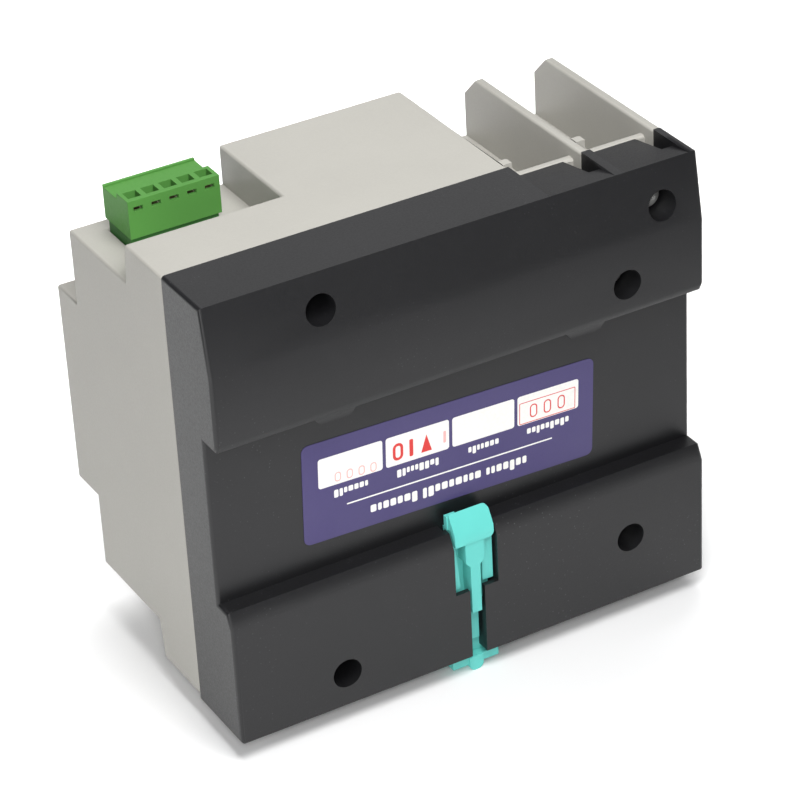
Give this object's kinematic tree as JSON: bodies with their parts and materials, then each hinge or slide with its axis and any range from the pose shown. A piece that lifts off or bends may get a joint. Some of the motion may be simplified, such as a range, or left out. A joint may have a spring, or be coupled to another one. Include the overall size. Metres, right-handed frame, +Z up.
{
  "type": "smart electric meter",
  "caption": "Modular single-phase smart electric meter for a 35 mm rail, with a stepped case, sliding rail clip, plug-in signal terminal and screw terminals between fins.",
  "frame": {"origin": "on the rail's centre line, in the plane of the rail channel's floor, at the middle of the case's width", "axes": "+X across the case, +Y out of the rear towards the wall, +Z up as mounted on a horizontal rail"},
  "size_m": [0.108, 0.0679, 0.1022],
  "materials": {
    "black_base": "fine moulded texture",
    "grey_case": "fine moulded texture",
    "teal_clip": "satin moulded",
    "label_purple": "printed film",
    "screw_steel": "zinc plated",
    "green_plug": "satin moulded",
    "green_header": "satin moulded",
    "clear_pane": "clear",
    "display_glass": "liquid crystal cell, grey green",
    "backlight_white": "diffuser",
    "fascia_film": "printed film",
    "button_grey": "moulded",
    "board_green": "solder mask",
    "plated_copper": "tinned copper",
    "cage_steel": "yellow zinc plated",
    "carrier_black": "moulded",
    "ferrite": "pressed",
    "winding_tape": "taped winding",
    "component_black": "moulded",
    "component_white": "moulded",
    "film_yellow": "box film capacitor",
    "can_sleeve": "sleeved can",
    "varistor_blue": "dipped",
    "lamp_red": "clear red lens",
    "guide_clear": "clear acrylic",
    "ribbon_grey": "flat cable"
  },
  "bodies": {
    "meter_case": {"rear_base": "black_base", "front_housing": "grey_case", "shallow_case_screws": "screw_steel", "deep_case_screws": "screw_steel", "rear_label": "label_purple", "top_terminal_block": "carrier_black", "bottom_terminal_block": "carrier_black", "live_out_busbar": "plated_copper", "live_in_busbar": "plated_copper", "shunt_strip": "plated_copper", "neutral_busbar": "plated_copper", "latching_relay": "component_white", "current_transformer": "varistor_blue", "signal_header": "green_header", "header_pins": "cage_steel", "front_fascia": "fascia_film", "display_window": "clear_pane", "lcd_glass": "display_glass", "lcd_backlight": "backlight_white", "display_board": "board_green", "button_switches": "component_black", "status_lights": "lamp_red", "light_guides": "guide_clear", "main_board": "board_green", "interface_board": "board_green", "board_spacers": "plated_copper", "board_ribbon": "ribbon_grey", "transformer_core": "ferrite", "transformer_winding": "winding_tape", "input_capacitor": "film_yellow", "smoothing_capacitors": "can_sleeve", "varistor": "varistor_blue", "backup_battery": "screw_steel", "board_chips": "component_black", "optocouplers": "component_black"},
    "rail_clip": {"din_clip": "teal_clip"},
    "plug": {"signal_plug": "green_plug", "contact_sockets": "plated_copper"},
    "page_button": {"page_button": "button_grey", "page_switch_plunger": "component_black"},
    "reset_button": {"reset_button": "button_grey", "reset_switch_plunger": "component_black"},
    "live_out_screw": {"live_out_screw": "screw_steel"},
    "live_out_cage": {"live_out_cage": "cage_steel"},
    "neutral_out_screw": {"neutral_out_screw": "screw_steel"},
    "neutral_out_cage": {"neutral_out_cage": "cage_steel"},
    "live_in_screw": {"live_in_screw": "screw_steel"},
    "live_in_cage": {"live_in_cage": "cage_steel"},
    "neutral_in_screw": {"neutral_in_screw": "screw_steel"},
    "neutral_in_cage": {"neutral_in_cage": "cage_steel"},
    "plug_screw_one": {"plug_screw_one": "screw_steel"},
    "plug_clamp_one": {"plug_clamp_one": "cage_steel"},
    "plug_screw_two": {"plug_screw_two": "screw_steel"},
    "plug_clamp_two": {"plug_clamp_two": "cage_steel"},
    "plug_screw_three": {"plug_screw_three": "screw_steel"},
    "plug_clamp_three": {"plug_clamp_three": "cage_steel"},
    "plug_screw_four": {"plug_screw_four": "screw_steel"},
    "plug_clamp_four": {"plug_clamp_four": "cage_steel"},
    "plug_screw_five": {"plug_screw_five": "screw_steel"},
    "plug_clamp_five": {"plug_clamp_five": "cage_steel"}
  },
  "joints": [
    {"name": "clip_slide", "type": "slide", "parent": "meter_case", "child": "rail_clip", "axis": [0, 0, -1], "range_m": [0, 0.005]},
    {"name": "plug_pull", "type": "slide", "parent": "meter_case", "child": "plug", "axis": [0, 0, 1], "range_m": [0, 0.02]},
    {"name": "page_press", "type": "slide", "parent": "meter_case", "child": "page_button", "axis": [0, 1, 0], "range_m": [0, 0.0005], "stiffness_N_per_m": 1500},
    {"name": "reset_press", "type": "slide", "parent": "meter_case", "child": "reset_button", "axis": [0, 1, 0], "range_m": [0, 0.0005], "stiffness_N_per_m": 1500},
    {"name": "live_out_screw_turn", "type": "hinge", "parent": "meter_case", "child": "live_out_screw", "pos_m": [-0.02795, -0.0507, 0.0275], "axis": [0, 1, 0], "range_deg": [0, 2160]},
    {"name": "live_out_cage_rise", "type": "slide", "parent": "meter_case", "child": "live_out_cage", "axis": [0, -1, 0], "range_m": [0, 0.006]},
    {"name": "neutral_out_screw_turn", "type": "hinge", "parent": "meter_case", "child": "neutral_out_screw", "pos_m": [-0.04465, -0.0507, 0.0275], "axis": [0, 1, 0], "range_deg": [0, 2160]},
    {"name": "neutral_out_cage_rise", "type": "slide", "parent": "meter_case", "child": "neutral_out_cage", "axis": [0, -1, 0], "range_m": [0, 0.006]},
    {"name": "live_in_screw_turn", "type": "hinge", "parent": "meter_case", "child": "live_in_screw", "pos_m": [-0.02795, -0.0507, -0.0275], "axis": [0, 1, 0], "range_deg": [0, 2160]},
    {"name": "live_in_cage_rise", "type": "slide", "parent": "meter_case", "child": "live_in_cage", "axis": [0, -1, 0], "range_m": [0, 0.006]},
    {"name": "neutral_in_screw_turn", "type": "hinge", "parent": "meter_case", "child": "neutral_in_screw", "pos_m": [-0.04465, -0.0507, -0.0275], "axis": [0, 1, 0], "range_deg": [0, 2160]},
    {"name": "neutral_in_cage_rise", "type": "slide", "parent": "meter_case", "child": "neutral_in_cage", "axis": [0, -1, 0], "range_m": [0, 0.006]},
    {"name": "plug_screw_one_turn", "type": "hinge", "parent": "plug", "child": "plug_screw_one", "pos_m": [0.03008, -0.0493, 0.04415], "axis": [0, 1, 0], "range_deg": [0, 1800]},
    {"name": "plug_clamp_one_rise", "type": "slide", "parent": "plug", "child": "plug_clamp_one", "axis": [0, -1, 0], "range_m": [0, 0.002]},
    {"name": "plug_screw_two_turn", "type": "hinge", "parent": "plug", "child": "plug_screw_two", "pos_m": [0.03389, -0.0493, 0.04415], "axis": [0, 1, 0], "range_deg": [0, 1800]},
    {"name": "plug_clamp_two_rise", "type": "slide", "parent": "plug", "child": "plug_clamp_two", "axis": [0, -1, 0], "range_m": [0, 0.002]},
    {"name": "plug_screw_three_turn", "type": "hinge", "parent": "plug", "child": "plug_screw_three", "pos_m": [0.0377, -0.0493, 0.04415], "axis": [0, 1, 0], "range_deg": [0, 1800]},
    {"name": "plug_clamp_three_rise", "type": "slide", "parent": "plug", "child": "plug_clamp_three", "axis": [0, -1, 0], "range_m": [0, 0.002]},
    {"name": "plug_screw_four_turn", "type": "hinge", "parent": "plug", "child": "plug_screw_four", "pos_m": [0.04151, -0.0493, 0.04415], "axis": [0, 1, 0], "range_deg": [0, 1800]},
    {"name": "plug_clamp_four_rise", "type": "slide", "parent": "plug", "child": "plug_clamp_four", "axis": [0, -1, 0], "range_m": [0, 0.002]},
    {"name": "plug_screw_five_turn", "type": "hinge", "parent": "plug", "child": "plug_screw_five", "pos_m": [0.04532, -0.0493, 0.04415], "axis": [0, 1, 0], "range_deg": [0, 1800]},
    {"name": "plug_clamp_five_rise", "type": "slide", "parent": "plug", "child": "plug_clamp_five", "axis": [0, -1, 0], "range_m": [0, 0.002]}
  ],
  "couplings": [
    {"joint": "live_out_screw_turn", "follows": "live_out_cage_rise", "rad_per_m": 6283},
    {"joint": "neutral_out_screw_turn", "follows": "neutral_out_cage_rise", "rad_per_m": 6283},
    {"joint": "live_in_screw_turn", "follows": "live_in_cage_rise", "rad_per_m": 6283},
    {"joint": "neutral_in_screw_turn", "follows": "neutral_in_cage_rise", "rad_per_m": 6283},
    {"joint": "plug_screw_one_turn", "follows": "plug_clamp_one_rise", "rad_per_m": 15707},
    {"joint": "plug_screw_two_turn", "follows": "plug_clamp_two_rise", "rad_per_m": 15707},
    {"joint": "plug_screw_three_turn", "follows": "plug_clamp_three_rise", "rad_per_m": 15707},
    {"joint": "plug_screw_four_turn", "follows": "plug_clamp_four_rise", "rad_per_m": 15707},
    {"joint": "plug_screw_five_turn", "follows": "plug_clamp_five_rise", "rad_per_m": 15707}
  ]
}
